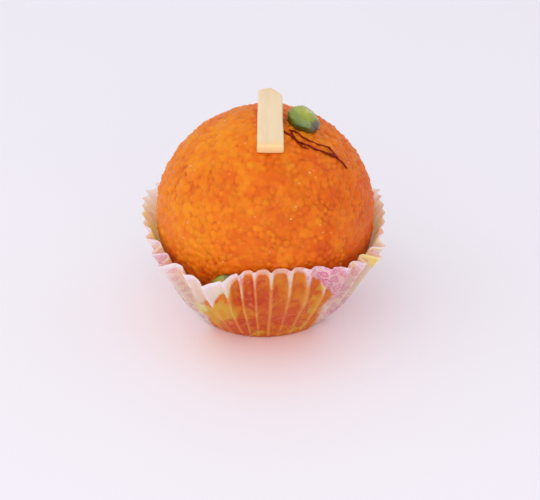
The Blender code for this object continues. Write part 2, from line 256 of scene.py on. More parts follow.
# Where syrup has soaked the paper: shares of the height, and the azimuths between which it is wet there
SOAK_HEIGHTS = (0.0, 0.3, 0.6, 0.75, 0.88, 1.0)
SOAK_LEFT = (222, 231, 240, 247, 253, 257)
SOAK_RIGHT = (311, 308, 305, 302, 295, 289)
SOAK_EDGE = 8.0
SOAK_FOOT = (0.42, 1.44)  # all round the foot: how much at the very base, and how fast that ends upwards
SOAK_UNDER = 0.4
SOAK_STRAY = (190.0, 1.5)  # the noise that frays its edge: frequency, amount
SOAK_RIM = 0.45  # share of the soaking left in the rim

# Paper colours. A pair goes from one to the other by noise or by height of the fold
DRY_PAPER = ((0.82, 0.7, 0.77), (0.9, 0.82, 0.88))
# Inside faces near the ladoo: a painted glow of light through the paper and off the ladoo
INNER_PAINTED_GLOW = ((0.99, 0.73, 0.38), (0.99, 0.56, 0.32))
# Soaked paper: orange from the syrup and fat, with the ladoo's orange through it painted in
WET_PAPER_AND_GLOW = ((0.76, 0.1, 0.006), (0.87, 0.23, 0.012))
# Painted highlight on the soaked ridges, which stand off the ladoo so less of its orange shows
WET_RIDGE_HIGHLIGHT = (0.92, 0.33, 0.07)
PAINTED_LADOO_GLOW = (0.97, 0.5, 0.2)  # the ladoo's colour painted on dry paper that lies near it, as its glow through the paper and off the ladoo
GLOW_REACH = (1.0, 7.0)  # from this far off the ladoo to that, in mm
STAIN = (0.95, 0.5, 0.3)
NUT_BEHIND = (-8.2 * MM, -26.6 * MM, 18.6 * MM)  # where the low kernel's green is painted on the paper, as if seen through it
NUT_REACH = (1.2 * MM, 4.0 * MM)
PAINTED_NUT_GREEN = (0.5, 0.72, 0.4)

# Inks in the order that they lie on the paper: print, strength, colour
DRY_INKS = (
    ("wash", 1.0, (0.82, 0.41, 0.45)),
    ("gold", 0.85, (0.99, 0.67, 0.2)),
    ("leaf", 0.8, (0.88, 0.64, 0.2)),
    ("flower", 0.7, (0.86, 0.25, 0.22)),
    ("ring", 1.0, (0.72, 0.17, 0.34)),
    ("heart", 1.0, (0.66, 0.07, 0.17)),
)
WET_INKS = (
    ("gold", 0.65, (0.87, 0.38, 0.035)),
    ("leaf", 0.6, (0.74, 0.41, 0.04)),
    ("coral", 0.6, (0.66, 0.045, 0.012)),
    ("flower", 0.8, (0.66, 0.045, 0.012)),
    ("vein", 0.6, (0.92, 0.25, 0.08)),
    ("ring", 0.35, (0.62, 0.05, 0.012)),
    ("heart", 0.45, (0.5, 0.025, 0.012)),
)

# The print, measured in mm on the flat sheet
BLEED_SCALE = 0.7
BLEED = 0.5
INK_SCALE = 0.35
FLOWER_CELL = 8.5
FLOWER_RADIUS = 4.2
BLOSSOM_CELL = 1.85
BLOSSOM_RADIUS = 0.9
LEAF_CELL = 5.2
LEAF_SIZE = (3.2, 1.2)
LEAF_BEND = 0.12
CELL_STRAY = 0.75
FIBRES = 2600.0

# Where the print is densest: azimuth, share of the height, half widths of both, strength
GOLD_FIELDS = (
    (237, 0.34, 11, 0.19, 1.0),
    (250, 0.55, 6, 0.2, 0.8),
    (294, 0.14, 9, 0.1, 0.9),
    (259, 0.08, 8, 0.07, 0.9),
    (299, 0.5, 4, 0.3, 0.5),
    (184, 0.75, 9, 0.2, 0.75),
    (201, 0.85, 5, 0.15, 0.6),
    (324, 0.93, 8, 0.07, 0.9),
    (60, 0.6, 20, 0.2, 0.8),
    (120, 0.5, 16, 0.25, 0.8),
)
CORAL_FIELDS = (
    (252, 0.2, 10, 0.15, 1.0),
    (281, 0.38, 13, 0.24, 1.2),
    (266, 0.72, 9, 0.16, 1.0),
    (194, 0.8, 4, 0.12, 0.5),
    (345, 0.85, 5, 0.15, 0.7),
    (20, 0.5, 14, 0.2, 0.8),
    (90, 0.4, 14, 0.2, 0.8),
    (160, 0.6, 12, 0.2, 0.8),
)
PINK_FIELDS = (
    (300, 0.88, 13, 0.16, 1.2),
    (310, 0.66, 8, 0.16, 0.9),
    (328, 0.3, 20, 0.17, 1.0),
    (206, 0.4, 22, 0.24, 0.75),
    (215, 0.85, 9, 0.14, 0.8),
    (5, 0.4, 18, 0.3, 0.8),
    (75, 0.8, 18, 0.2, 0.8),
    (140, 0.4, 18, 0.3, 0.8),
)


class Graph:
    """Short calls for building one material's nodes."""

    def __init__(self, name):
        self.material = bpy.data.materials.new(name)
        self.material.use_nodes = True
        self.tree = self.material.node_tree
        self.shader = self.tree.nodes["Principled BSDF"]

    def node(self, kind, settings=None, **inputs):
        made = self.tree.nodes.new("ShaderNode" + kind)
        for key, value in (settings or {}).items():
            setattr(made, key, value)
        for key, value in inputs.items():
            self.connect(made.inputs[key.replace("_", " ")], value)
        return made

    def connect(self, socket, value):
        if isinstance(value, bpy.types.NodeSocket):
            self.tree.links.new(value, socket)
        elif isinstance(value, tuple) and socket.type == "RGBA" and len(value) == 3:
            socket.default_value = (*value, 1.0)
        else:
            socket.default_value = value

    def math(self, operation, *values, clamp=False):
        made = self.tree.nodes.new("ShaderNodeMath")
        made.operation = operation
        made.use_clamp = clamp
        for socket, value in zip(made.inputs, values):
            self.connect(socket, value)
        return made.outputs[0]

    def plus(self, one, other):
        return self.math("ADD", one, other)

    def minus(self, one, other):
        return self.math("SUBTRACT", one, other)

    def times(self, one, other):
        return self.math("MULTIPLY", one, other)

    def vector(self, operation, *values):
        made = self.tree.nodes.new("ShaderNodeVectorMath")
        made.operation = operation
        for socket, value in zip(made.inputs, values):
            self.connect(socket, value)
        return made.outputs["Value" if operation == "DISTANCE" else "Vector"]

    def steps(self, value, low, high, to_low=0.0, to_high=1.0):
        """value brought smoothly from low and high to to_low and to_high."""
        made = self.tree.nodes.new("ShaderNodeMapRange")
        made.interpolation_type = "SMOOTHSTEP"
        for socket, number in zip(made.inputs, (value, low, high, to_low, to_high)):
            self.connect(socket, number)
        return made.outputs[0]

    def mix(self, share, one, other):
        made = self.tree.nodes.new("ShaderNodeMix")
        made.data_type = "RGBA"
        self.connect(made.inputs["Factor"], share)
        self.connect(made.inputs[6], one)
        self.connect(made.inputs[7], other)
        return made.outputs[2]

    def noise(self, place, scale, detail=3.0, roughness=0.5, output="Fac"):
        made = self.node("TexNoise", Vector=place, Scale=scale, Detail=detail, Roughness=roughness)
        return made.outputs[output]

    def streaks(self, place, frequencies, detail=3.0, roughness=0.5):
        """Noise that is finer along some axes than along others."""
        return self.noise(self.vector("MULTIPLY", place, frequencies), 1.0, detail, roughness)

    def strayed(self, value, noise, amount):
        """value moved up and down by noise, by up to half the amount."""
        return self.plus(value, self.times(self.minus(noise, 0.5), amount))

    def place(self):
        return self.node("TexCoord").outputs["Object"]

    def attribute(self, name, output="Fac"):
        return self.node("Attribute", {"attribute_name": name}).outputs[output]

    def bump(self, height, distance, strength):
        return self.node("Bump", Strength=strength, Distance=distance, Height=height).outputs[0]

    def set(self, **inputs):
        for key, value in inputs.items():
            self.connect(self.shader.inputs[key.replace("_", " ")], value)


def mesh_piece(name, points, faces, material, replaced, attributes):
    """A piece from arrays of points and faces, riding on the one body."""
    mesh = bpy.data.meshes.new(name)
    mesh.from_pydata(np.asarray(points).tolist(), [], faces if isinstance(faces, list) else faces.tolist())
    for key, values in attributes.items():
        values = np.asarray(values, np.float32)
        kind = "FLOAT" if values.ndim == 1 else "FLOAT_VECTOR"
        layer = mesh.attributes.new(key, kind, "POINT")
        layer.data.foreach_set("value" if values.ndim == 1 else "vector", values.ravel())
    mesh.shade_smooth()
    mesh.materials.append(material)
    piece = bpy.data.objects.new(name, mesh)
    bpy.context.scene.collection.objects.link(piece)
    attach(piece, "root")
    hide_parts(replaced)
    return piece


def lumps(points, size, offset=0.0):
    """Smooth noise from -1 to 1 with features of about that size. Each offset is another pattern."""
    return np.array([noise.noise(Vector(p) / size + Vector((offset,) * 3)) for p in points])


def on_sphere(polar_degrees, azimuth_degrees):
    polar, azimuth = np.radians(polar_degrees), np.radians(azimuth_degrees)
    return np.array((np.sin(polar) * np.cos(azimuth), np.sin(polar) * np.sin(azimuth), np.cos(polar)))


def outward_of(azimuths):
    """The level direction out from the axis at each azimuth."""
    angles = np.radians(azimuths)
    return np.stack([np.cos(angles), np.sin(angles), np.zeros_like(angles)], -1)


def from_ladoo(points):
    """The direction from the ladoo's middle to each point, and its distance from there."""
    away = points - LADOO_CENTRE
    distance = np.linalg.norm(away, axis=-1)
    return away / distance[..., None], distance


def scatter(rng, spacing, taken, taken_spacing):
    """Directions thrown at random and kept only where no earlier one, nor one of those taken, is near."""
    near, near_taken = (spacing / LADOO_RADIUS) ** 2, (taken_spacing / LADOO_RADIUS) ** 2
    kept = np.zeros((0, 3))
    misses = 0
    while misses < GRAIN_TRIES:
        thrown = rng.normal(size=3)
        thrown /= np.linalg.norm(thrown)
        if len(kept) and np.min(np.sum((kept - thrown) ** 2, axis=1)) < near:
            misses += 1
            continue
        if len(taken) and np.min(np.sum((taken - thrown) ** 2, axis=1)) < near_taken:
            misses += 1
            continue
        misses = 0
        kept = np.vstack([kept, thrown])
    return kept


def swell(directions):
    """How far hand rolling has moved the surface out or in there."""
    scale = LADOO_RADIUS / SWELL_WIDTH
    return HAND_ROLLED * np.array(
        [noise.noise(Vector(d) * scale, noise_basis="PERLIN_ORIGINAL") for d in directions]
    )


def pressed(directions):
    """From 0 where grains stand out to 1 where the palms pressed them smooth."""
    patches = lumps(directions * LADOO_RADIUS, PRESSED_PATCH, 21.0)
    return np.clip(GRAINY[0] - GRAINY[1] * np.abs(directions @ GRAINY_SIDE) + patches, 0, 1)


def scatter_all():
    """Both kinds of grain by name, each a dict of arrays with one entry for each grain."""
    kinds = {}
    taken = np.zeros((0, 3))
    for name, (seed, spacing, widths, flatness, sunk) in GRAIN_KINDS.items():
        rng = np.random.default_rng(seed)
        directions = scatter(rng, spacing, taken, spacing if len(taken) == 0 else CLEAR_OF_GRAINS)
        count = len(directions)
        # Painted light: the tone is yellower and lighter towards the upper left, as if lit from there
        tone = TONE_MIDDLE + directions @ PAINTED_LIGHT_DRIFT
        tone += TONE_PATCHES * lumps(directions * LADOO_RADIUS, TONE_PATCH, seed)
        for middle, size, amount in YELLOW_PATCHES:
            tone += amount * np.exp(-np.sum((directions - middle) ** 2, axis=1) / size**2)
        kinds[name] = {
            "direction": directions,
            "half": rng.uniform(*widths, (count, 2)),
            "height": flatness * rng.uniform(*GRAIN_HEIGHTS, count) * np.mean(widths),
            "top": LADOO_RADIUS + swell(directions) - rng.uniform(*sunk, count),
            "tone": np.clip(tone + rng.normal(0, TONE_STRAY, count), 0, 1),
            "film": rng.uniform(*FILM, count) - PRESSED * pressed(directions),
            "turn": rng.uniform(0, FULL_TURN, count),
            "wave": rng.uniform(0, FULL_TURN, (count, 2)),
        }
        taken = np.vstack([taken, directions])
    return kinds


def dome():
    """One grain's unit form: a domed top with more rings than its hidden underside."""
    points = [(0, 0, 1)]
    for polar in GRAIN_RINGS:
        for k in range(GRAIN_SIDES):
            turn = FULL_TURN * (k + 0.5 * (len(points) % 2)) / GRAIN_SIDES
            across = math.sin(math.radians(polar))
            points.append((across * math.cos(turn), across * math.sin(turn), math.cos(math.radians(polar))))
    points.append((0, 0, -1))
    faces = []
    last = len(points) - 1
    for k in range(GRAIN_SIDES):
        following = (k + 1) % GRAIN_SIDES
        faces.append((0, 1 + k, 1 + following))
        for ring in range(len(GRAIN_RINGS) - 1):
            a, b = 1 + ring * GRAIN_SIDES + k, 1 + ring * GRAIN_SIDES + following
            faces.append((a, a + GRAIN_SIDES, b + GRAIN_SIDES))
            faces.append((a, b + GRAIN_SIDES, b))
        faces.append((last, last - GRAIN_SIDES + following, last - GRAIN_SIDES + k))
    return np.array(points), np.array(faces)


def add_grains(name, grains, material):
    """All the grains of one kind as one piece: squashed, uneven domes standing in the paste."""
    unit, faces = dome()
    count = len(grains["direction"])
    normal = grains["direction"]
    side = np.cross(normal, (0.0, 0.0, 1.0) + 1e-6 * normal)
    side /= np.linalg.norm(side, axis=1)[:, None]
    other = np.cross(normal, side)
    turn = grains["turn"][:, None]
    x, y, z = (unit[None, :, i] for i in range(3))
    angle = np.arctan2(y, x)
    wave = grains["wave"]
    swollen = 1 + GRAIN_UNEVEN[0] * np.cos(2 * angle + wave[:, :1])
    swollen = swollen + GRAIN_UNEVEN[1] * np.cos(3 * angle + wave[:, 1:])
    u = x * swollen * grains["half"][:, :1]
    v = y * swollen * grains["half"][:, 1:]
    w = np.sign(z) * np.abs(z) ** GRAIN_FLAT_TOP
    along = u * np.cos(turn) - v * np.sin(turn)
    across = u * np.sin(turn) + v * np.cos(turn)
    radius = grains["top"][:, None] - grains["height"][:, None] * (1 - w)
    lean = grains["half"][:, :1] * GRAIN_LEAN * np.sin(angle + wave[:, 1:]) * np.hypot(x, y)
    radius = radius + lean - (u**2 + v**2) / (2 * LADOO_RADIUS)
    points = LADOO_CENTRE + normal[:, None] * radius[..., None]
    points = points + side[:, None] * along[..., None] + other[:, None] * across[..., None]
    all_faces = (faces[None] + (np.arange(count) * len(unit))[:, None, None]).reshape(-1, 3)
    # How far below the grain's top each point lies, which the material turns into painted crease shade
    depth = np.clip((1 - w) * grains["height"][:, None] / CREASE_DEPTH, 0, 1)
    attributes = {"tone": np.repeat(grains["tone"], len(unit)), "depth": depth.ravel()}
    return mesh_piece(name, points.reshape(-1, 3), all_faces, material, "ladoo", attributes)


def cube_sphere(cells):
    """Directions and square faces of a cube's grid blown up to a sphere."""
    steps = np.tan(np.linspace(-1, 1, cells + 1) * math.pi / 4)
    b, c = np.meshgrid(steps, steps, indexing="ij")
    corner = np.arange((cells + 1) ** 2).reshape(cells + 1, cells + 1)
    corners = [corner[:-1, :-1], corner[1:, :-1], corner[1:, 1:], corner[:-1, 1:]]
    square = np.stack(corners, -1).reshape(-1, 4)
    points, faces = [], []
    for axis in range(3):
        for sign in (-1, 1):
            face = np.empty((b.size, 3))
            face[:, axis] = sign
            face[:, (axis + 1) % 3] = b.ravel()
            face[:, (axis + 2) % 3] = c.ravel()
            faces.append((square if sign > 0 else square[:, ::-1]) + len(points) * b.size)
            points.append(face)
    points = np.vstack(points)
    _, first, same = np.unique(np.round(points, 6), axis=0, return_index=True, return_inverse=True)
    points = points[first]
    return points / np.linalg.norm(points, axis=1)[:, None], same.reshape(-1)[np.vstack(faces)]


def add_core(kinds, material):
    """The pressed paste: it fills the gaps between the grains and runs thinly up each of them."""
    directions, faces = cube_sphere(CORE_CELLS)
    keys = ("direction", "half", "height", "top", "tone", "film")
    grains = {key: np.concatenate([kind[key] for kind in kinds.values()]) for key in keys}
    tree = KDTree(len(grains["direction"]))
    for i, direction in enumerate(grains["direction"]):
        tree.insert(direction, i)
    tree.balance()
    nearest = np.array([[found[1] for found in tree.find_n(d, CORE_NEAREST)] for d in directions])
    surface = LADOO_RADIUS + swell(directions)
    fill = 0.5 + lumps(directions * LADOO_RADIUS, PASTE_PATCH, 5.0)
    base = surface - PASTE_LEVEL[0] + (PASTE_LEVEL[0] - PASTE_LEVEL[1]) * np.clip(fill, 0, 1)
    base += PASTE_ROUGH * lumps(directions * LADOO_RADIUS, PASTE_ROUGH_SIZE, 9.0)
    total = np.exp((base - LADOO_RADIUS) / PASTE_SOFT)
    tone, weights = 0, 0
    for k in range(CORE_NEAREST):
        i = nearest[:, k]
        away = LADOO_RADIUS * np.linalg.norm(directions - grains["direction"][i], axis=1)
        share = away / grains["half"][i].mean(axis=1)
        height = grains["top"][i] - grains["film"][i] - grains["height"][i] * SHOULDER * share**2
        total += np.exp((height - LADOO_RADIUS) / PASTE_SOFT)
        weight = np.exp(-2 * share**2)
        tone, weights = tone + weight * grains["tone"][i], weights + weight
    radius = LADOO_RADIUS + PASTE_SOFT * np.log(total)
    # How far the paste lies below the surface, which the material turns into painted crease shade
    depth = np.clip((surface - radius) / CREASE_DEPTH, 0, 1)
    points = LADOO_CENTRE + directions * radius[:, None]
    attributes = {"tone": tone / weights, "depth": depth}
    return mesh_piece("ladoo_core", points, faces, material, "ladoo", attributes)


def motichoor_material():
    g = Graph("motichoor")
    place = g.place()
    tone = g.attribute("tone")
    depth = g.attribute("depth")
    fine = g.noise(place, 1 / FINE_GRAIN, 4.0, 0.6)
    hue = g.strayed(tone, g.noise(place, 1 / PATCH_WIDTH, 2.0), HUE_STRAY)
    hue = g.strayed(hue, fine, HUE_STRAY)
    ramp = g.node("ValToRGB", Fac=hue)
    stops = ramp.color_ramp.elements
    while len(stops) < len(ORANGES):
        stops.new(0.5)
    for stop, (position, colour) in zip(stops, ORANGES):
        stop.position = position
        stop.color = (*colour, 1.0)
    # Painted shade: darker and redder the deeper the point lies between the grains
    crease = g.steps(depth, 0.15, 0.9, 0.0, CREASE_SHADE)
    colour = g.mix(crease, ramp.outputs[0], CREASE_SHADE_COLOUR)
    # Painted glints of the syrup
    painted_glint = g.steps(g.noise(place, 1 / GLINT_SIZE, 0.0), *GLINT_LEVELS)
    colour = g.mix(painted_glint, colour, GLINT_COLOUR)
    relief = g.bump(g.noise(place, 1 / LADOO_RELIEF[0], 3.0, 0.55), LADOO_RELIEF[1], 0.6)
    g.set(Base_Color=colour, Roughness=g.steps(fine, 0.3, 0.7, 0.32, 0.5), Normal=relief)
    g.set(Subsurface_Weight=0.55, Subsurface_Radius=(1.0, 0.3, 0.06), Subsurface_Scale=0.7 * MM)
    g.set(Coat_Weight=0.03, Coat_Roughness=0.2, Specular_IOR_Level=0.15)
    return g.material


def degrees_from(azimuths, middle):
    """How far each azimuth is from the middle one, from -180 to 180."""
    return (azimuths - middle + 180) % 360 - 180


def lobes(azimuths, table):
    """The sum of the table's smooth humps at those azimuths."""
    total = np.zeros_like(azimuths)
    for middle, amount, half_width in table:
        away = degrees_from(azimuths, middle)
        total += amount * np.exp(-((away / half_width) ** 2))
    return total


def pleat_azimuths(pleats):
    """Azimuths of columns counted in pleats: they bunch or spread where the pleats do."""
    degrees = np.linspace(0, 360, 721)
    density = 1.0 + lobes(degrees, PLEAT_CROWDING)
    count = np.concatenate([[0], np.cumsum((density[1:] + density[:-1]) / 2)])
    return np.interp(pleats / PLEATS, count / count[-1], degrees)


def wall_surface(azimuths, t, crest):
    """Points of the paper's outer face over rows and columns. The inner folds lie close to the ladoo."""
    flat_side = lobes(azimuths, FLAT_SIDES)
    rim = RIM_RADIUS + lobes(azimuths, WALL_LEANS) + OPENED * flat_side
    lean = np.arcsin((rim - BASE_RADIUS) / SLANT)
    outwards = outward_of(azimuths)
    bow = WALL_BOW * np.sin(math.pi * t)
    points = outwards * (BASE_RADIUS + t * SLANT * np.sin(lean) + bow * np.cos(lean))[..., None]
    points[..., 2] = t * SLANT * np.cos(lean) - bow * np.sin(lean)
    away, distance = from_ladoo(points)
    yielding = WALL_YIELD * np.log1p(np.exp((LADOO_RADIUS + PAPER_CLEAR - distance) / WALL_YIELD))
    points += away * (yielding * (t > 0))[..., None]
    away, distance = from_ladoo(points)
    closed = lobes(azimuths, HUGS) * (1 - np.clip(crest, 0, 1)) + TUCKED * flat_side * (1 - t**LIP)
    closed *= np.clip((t - HUG_RISE[0]) / HUG_RISE[1], 0, 1)
    pull = closed * np.maximum(distance - LADOO_RADIUS - PAPER_CLEAR, 0)
    points -= away * pull[..., None]
    depth = PLEAT_DEPTH[0] + (PLEAT_DEPTH[1] - PLEAT_DEPTH[0]) * t
    depth = depth * (1 - FLATTER * flat_side * t)
    return points + outwards * (depth * crest)[..., None]


def pleated_grid():
    """Azimuth, share of the height, and crest (1 on a ridge, 0 in a fold) at each row and column."""
    rng = np.random.default_rng(PLEAT_SEED)
    stray = rng.uniform(-PLEAT_UNEVEN, PLEAT_UNEVEN, PLEATS)
    pleats = np.arange(PLEATS * COLUMNS_A_PLEAT) / COLUMNS_A_PLEAT
    rows = np.linspace(0, 1, PAPER_ROWS)
    pleats, t = np.meshgrid(pleats, rows)
    by_pleat, by_height, offset = WANDER_WAVES
    wander = [[noise.noise((by_pleat * p, by_height * r, offset)) for p in pleats[0]] for r in rows]
    joined = math.pi * np.clip((PLEATS - np.abs(2 * pleats - PLEATS)) / 4, 0, 0.5)
    shifted = pleats + PLEAT_WANDER * (np.array(wander) * np.sin(joined)) * t
    azimuths = pleat_azimuths(pleats)
    crease = PAPER_CREASE * (1 - BROADER * lobes(azimuths, FLAT_SIDES))
    crest = (0.5 + 0.5 * np.cos(FULL_TURN * shifted)) ** crease
    crest = crest * (1 + stray[np.round(pleats).astype(int) % PLEATS])
    least, grown_at, growth = PAPER_FOOT
    return azimuths, t, crest * (least + (1 - least) * np.clip(t / grown_at, 0, 1) ** growth)


def inner_face(outer):
    """The paper's inner face: the outer one moved inwards by the paper's thickness, with a level foot."""
    round_it = np.roll(outer, -1, axis=1) - np.roll(outer, 1, axis=1)
    up_it = np.gradient(outer, axis=0)
    inwards = np.cross(up_it, round_it)
    inwards /= np.linalg.norm(inwards, axis=-1)[..., None]
    inner = outer + inwards * PAPER_THICK
    inner[0] = outer[0] * (1 - PAPER_THICK / BASE_RADIUS)
    inner[0, :, 2] = PAPER_THICK
    inner[..., 2] = np.maximum(inner[..., 2], PAPER_THICK)
    return inner


def shell_faces(rows, columns):
    """Faces of a closed cup: outer wall, inner wall, the edge between, and a fan from each middle point."""
    count = rows * columns
    index = np.arange(count).reshape(rows, columns)
    following = np.roll(index, -1, axis=1)
    outer_faces = np.stack([index[:-1], following[:-1], following[1:], index[1:]], -1).reshape(-1, 4)
    faces = outer_faces.tolist() + (outer_faces[:, ::-1] + count).tolist()
    faces += np.stack([index[-1], following[-1], following[-1] + count, index[-1] + count], -1).tolist()
    middle = 2 * count
    for k in range(columns):
        faces.append([middle, following[0, k], index[0, k]])
        faces.append([middle + 1, index[0, k] + count, following[0, k] + count])
    return faces


def on_both(values, at_middles=0):
    """One value for each point of the shell, from the values on its grid of rows and columns."""
    return np.concatenate([values.ravel(), values.ravel(), [at_middles, at_middles]])


def add_paper(material):
    """The fluted case as one thin closed shell, with where it lies on the flat sheet it was pressed from."""
    azimuths, t, crest = pleated_grid()
    outer = wall_surface(azimuths, t, crest)
    crumple = lumps(outer.reshape(-1, 3), PAPER_CRUMPLE[1]).reshape(t.shape)
    outwards = outward_of(azimuths)
    outer = outer + outwards * (PAPER_CRUMPLE[0] * crumple * t)[..., None]
    inner = inner_face(outer)
    points = np.vstack([outer.reshape(-1, 3), inner.reshape(-1, 3), [(0, 0, 0), (0, 0, PAPER_THICK)]])
    on_sheet = (BASE_RADIUS + t * SLANT)[..., None] * outwards
    attributes = {
        "sheet": np.vstack([on_sheet.reshape(-1, 3)] * 2 + [np.zeros((2, 3))]),
        "up": on_both(t),
        "crest": on_both(crest),
        "soak": on_both(soak_of(azimuths, t), SOAK_UNDER),
        "near": on_both((from_ladoo(outer)[1] - LADOO_RADIUS) / MM),
        "inside": np.concatenate([np.zeros(t.size), np.ones(t.size), [0, 1]]),
    }
    for key, table in (("gold", GOLD_FIELDS), ("coral", CORAL_FIELDS), ("pinks", PINK_FIELDS)):
        attributes[key] = on_both(field_of(azimuths, t, table))
    faces = shell_faces(*t.shape)
    return mesh_piece("paper_shell", points, faces, material, "paper_case", attributes)


def soak_of(azimuths, t):
    """1 where syrup and fat have soaked the paper, 0 where it is dry, with a soft edge between."""
    azimuths = azimuths % 360
    left = azimuths - np.interp(t, SOAK_HEIGHTS, SOAK_LEFT)
    right = np.interp(t, SOAK_HEIGHTS, SOAK_RIGHT) - azimuths
    front = np.clip(0.5 + 0.5 * np.minimum(left, right) / SOAK_EDGE, 0, 1)
    return np.maximum(front, np.clip(SOAK_FOOT[0] - SOAK_FOOT[1] * t, 0, 1))


def field_of(azimuths, t, table):
    """The sum of the table's smooth patches at those places on the wall."""
    total = np.zeros_like(azimuths)
    for middle, height, half_width, half_height, strength in table:
        away = degrees_from(azimuths, middle)
        total += strength * np.exp(-((away / half_width) ** 2) - ((t - height) / half_height) ** 2)
    return total


def soaked(g, place, up, crest):
    """Masks of the soaked paper, whose frayed edge stays lower on the ridges, and of the rim's dry edge."""
    fray = g.noise(place, SOAK_STRAY[0], 4.0)
    soak = g.strayed(g.attribute("soak"), fray, SOAK_STRAY[1])
    soak = g.minus(soak, g.times(crest, g.steps(up, 0.55, 1.0, 0.2, 0.75)))
    rim = g.steps(g.strayed(g.math("MULTIPLY_ADD", crest, 0.03, up), fray, 0.04), 0.935, 0.97)
    return g.times(g.steps(soak, 0.32, 0.62), g.steps(rim, 0.0, 1.0, 1.0, SOAK_RIM)), rim


def bled(g, sheet):
    """The place on the sheet, strayed a little, so that each print has an uneven edge."""
    bleed = g.vector("SUBTRACT", g.noise(sheet, BLEED_SCALE, 2.0, 0.5, "Color"), (0.5,) * 3)
    return g.vector("ADD", sheet, g.vector("MULTIPLY", bleed, (BLEED,) * 3))


def prints_of(g, sheet, stray):
    """Each print's mask by name. They stand where the wall's gold, coral and pinks attributes are high."""
    gold, coral, pinks = g.attribute("gold"), g.attribute("coral"), g.attribute("pinks")
    ring, heart = blossoms(g, sheet, pinks)
    flower, vein = flowers(g, sheet, coral)
    patchy = g.times(g.steps(stray, -0.2, 0.1, 0.5, 1.0), g.steps(pinks, 0.5, 0.9, 0.45, 1.0))
    return {
        "wash": g.steps(g.math("MULTIPLY_ADD", stray, 1.4, pinks), 0.1, 0.9, 0.0, 0.65),
        "gold": g.steps(g.math("MULTIPLY_ADD", stray, 1.6, gold), 0.3, 0.7),
        "coral": g.steps(g.math("MULTIPLY_ADD", stray, -2.4, coral), 0.25, 0.75),
        "leaf": leaves(g, sheet, gold),
        "flower": flower,
        "vein": vein,
        "ring": g.times(ring, patchy),
        "heart": heart,
    }


def inked(g, colour, prints, inks):
    """The paper's colour with each ink laid over it in turn."""
    for name, strength, ink in inks:
        colour = g.mix(g.times(prints[name], strength), colour, ink)
    return colour


def dry_paper(g, place, sheet, stray, rim, crest):
    """Pale lilac paper, a painted peach glow of the ladoo near it, a painted yellow glow of light through
    the paper inside, the low kernel's green painted where it lies behind, and a stain near the soaked part.
    """
    near = g.attribute("near")
    colour = g.mix(g.noise(sheet, INK_SCALE, 4.0), *DRY_PAPER)
    # Painted glow of the ladoo on the paper near it, none on the rim's dry edge
    painted_glow = g.times(g.steps(near, *GLOW_REACH, 0.68, 0.06), g.minus(1.0, rim))
    colour = g.mix(painted_glow, colour, PAINTED_LADOO_GLOW)
    fold = g.math("ADD", g.steps(crest, 0.02, 0.4), g.times(stray, 1.5), clamp=True)
    # Painted glow of light through the paper on the inside faces near the ladoo, yellower or more orange by
    # fold
    inner = g.times(g.attribute("inside"), g.steps(near, *GLOW_REACH, 0.85, 0.4))
    colour = g.mix(inner, colour, g.mix(fold, *INNER_PAINTED_GLOW))
    colour = g.mix(g.steps(g.attribute("soak"), 0.4, 1.0, 0.0, 0.5), colour, STAIN)
    # The low kernel behind the paper, painted on as if seen through
    behind = g.vector("DISTANCE", place, NUT_BEHIND)
    return g.mix(g.steps(behind, *NUT_REACH, 0.4, 0.0), colour, PAINTED_NUT_GREEN)


def wet_paper_and_glow(g, place, up, crest):
    """Soaked paper: orange from the syrup and fat, with the ladoo's deep orange painted in as if seen
    through, paler on the ridges that stand off it and near the top, as painted highlight.
    """
    cloud = g.steps(g.noise(place, 300.0, 5.0, 0.6), 0.35, 0.65)
    # Painted highlight on the ridges, and more of it near the top
    high = g.times(g.steps(up, 0.75, 0.97), 0.4)
    painted_ridge_highlight = g.math("ADD", g.steps(crest, 0.1, 0.95), high, clamp=True)
    return g.mix(g.times(painted_ridge_highlight, 0.6), g.mix(cloud, *WET_PAPER_AND_GLOW), WET_RIDGE_HIGHLIGHT)


def paper_material():
    """Thin printed paper with blossoms and leaves, orange where it is soaked, with the ladoo behind it
    painted in as if seen through.
    """
    g = Graph("printed_paper")
    place, up, crest = g.place(), g.attribute("up"), g.attribute("crest")
    sheet = bled(g, g.vector("MULTIPLY", g.attribute("sheet", "Vector"), (1 / MM,) * 3))
    stray = g.minus(g.noise(sheet, INK_SCALE, 4.0, 0.6), 0.5)
    soak, rim = soaked(g, place, up, crest)
    prints = prints_of(g, sheet, stray)
    dry = inked(g, dry_paper(g, place, sheet, stray, rim, crest), prints, DRY_INKS)
    wet = inked(g, wet_paper_and_glow(g, place, up, crest), prints, WET_INKS)
    # A second painted highlight on the ridge tops, over the print
    wet = g.mix(g.times(g.steps(crest, 0.5, 1.0), 0.4), wet, WET_RIDGE_HIGHLIGHT)
    relief = g.bump(g.noise(place, FIBRES, 4.0, 0.65), 0.02 * MM, 0.35)
    g.set(Base_Color=g.mix(soak, dry, wet), Roughness=g.steps(soak, 0.0, 1.0, 0.65, 0.48), Normal=relief)
    g.set(Subsurface_Weight=0.8, Subsurface_Radius=(1.0, 0.85, 0.75), Subsurface_Scale=0.8 * MM)
    g.set(Specular_IOR_Level=0.2)
    return g.material


def cell_of(g, sheet, cell, shift):
    """The way here from the middle of the Voronoi cell, in mm, and the cell's three random numbers."""
    moved = g.vector("ADD", sheet, (shift, 1.7 * shift, 0.0))
    flat = {"voronoi_dimensions": "2D"}
    cells = g.node("TexVoronoi", flat, Vector=moved, Scale=1.0 / cell, Randomness=CELL_STRAY)
    apart = g.node("SeparateXYZ", Vector=g.vector("SUBTRACT", moved, cells.outputs["Position"])).outputs
    chance = g.node("SeparateColor", Color=cells.outputs["Color"]).outputs
    return apart["X"], apart["Y"], chance["Red"], chance["Green"], chance["Blue"]


